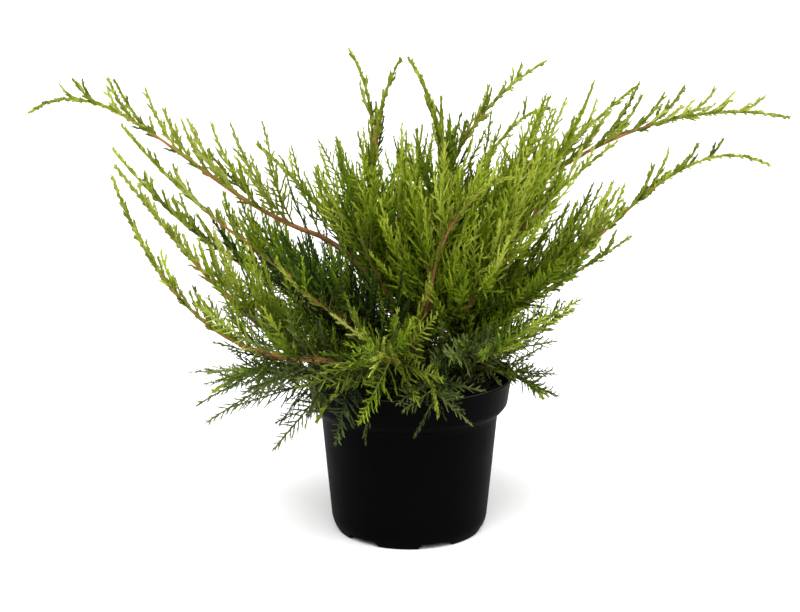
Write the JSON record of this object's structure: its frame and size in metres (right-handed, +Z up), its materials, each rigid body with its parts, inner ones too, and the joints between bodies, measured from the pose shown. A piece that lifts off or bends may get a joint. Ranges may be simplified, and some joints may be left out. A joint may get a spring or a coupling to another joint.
{
  "type": "potted sea green juniper",
  "caption": "Spreading evergreen juniper shrub with arching feathery yellow-green foliage, growing in a black plastic nursery pot filled with dark potting mix.",
  "frame": {"origin": "centre of the pot's underside, on the ground", "axes": "+Z up, -Y towards the side that the picture shows, +X to the right in the picture"},
  "size_m": [0.8104, 0.5483, 0.5312],
  "materials": {
    "pot": "moulded satin black nursery plastic",
    "soil": "loose dark brown potting mix of bark fines and peat",
    "bark": "reddish brown flaking juniper bark",
    "foliage": "yellow-green sprays of scale leaves and needles",
    "shaded_foliage": "dark green inner and lower sprays of needles"
  },
  "bodies": {
    "root": {"pot": "pot", "soil": "soil", "stem": "bark", "bough_right_high": "bark", "mass_right_high": "foliage", "bough_right_low": "bark", "mass_right_low": "shaded_foliage", "bough_right_middle": "bark", "mass_right_middle": "foliage", "bough_right_upper": "bark", "mass_right_upper": "foliage", "bough_front_right": "bark", "mass_front_right": "foliage", "bough_back_right": "bark", "mass_back_right": "shaded_foliage", "bough_left_high": "bark", "mass_left_high": "foliage", "bough_left_second": "bark", "mass_left_second": "foliage", "bough_left_third": "bark", "mass_left_third": "foliage", "bough_left_fourth": "bark", "mass_left_fourth": "foliage", "bough_left_low": "bark", "mass_left_low": "shaded_foliage", "bough_front_left": "bark", "mass_front_left": "foliage", "bough_front": "bark", "mass_front": "foliage", "bough_right_spread": "bark", "mass_right_spread": "foliage", "bough_right_back": "bark", "mass_right_back": "shaded_foliage", "bough_back": "bark", "mass_back": "shaded_foliage", "bough_back_left": "bark", "mass_back_left": "shaded_foliage", "bough_back_low": "bark", "mass_back_low": "shaded_foliage", "bough_back_left_low": "bark", "mass_back_left_low": "shaded_foliage", "bough_up_left": "bark", "mass_up_left": "foliage", "bough_up_mid": "bark", "mass_up_mid": "foliage", "bough_up_right": "bark", "mass_up_right": "foliage", "bough_lean_right": "bark", "mass_lean_right": "foliage", "mass_inner_left": "shaded_foliage", "mass_inner_front_left": "shaded_foliage", "mass_inner_front": "shaded_foliage", "mass_inner_front_right": "shaded_foliage", "mass_inner_right": "shaded_foliage", "mass_inner_back": "shaded_foliage", "mass_front_right_low": "shaded_foliage", "mass_front_skirt": "shaded_foliage", "mass_right_skirt": "shaded_foliage", "mass_left_skirt": "shaded_foliage", "mass_left_front_skirt": "shaded_foliage"}
  },
  "joints": []
}
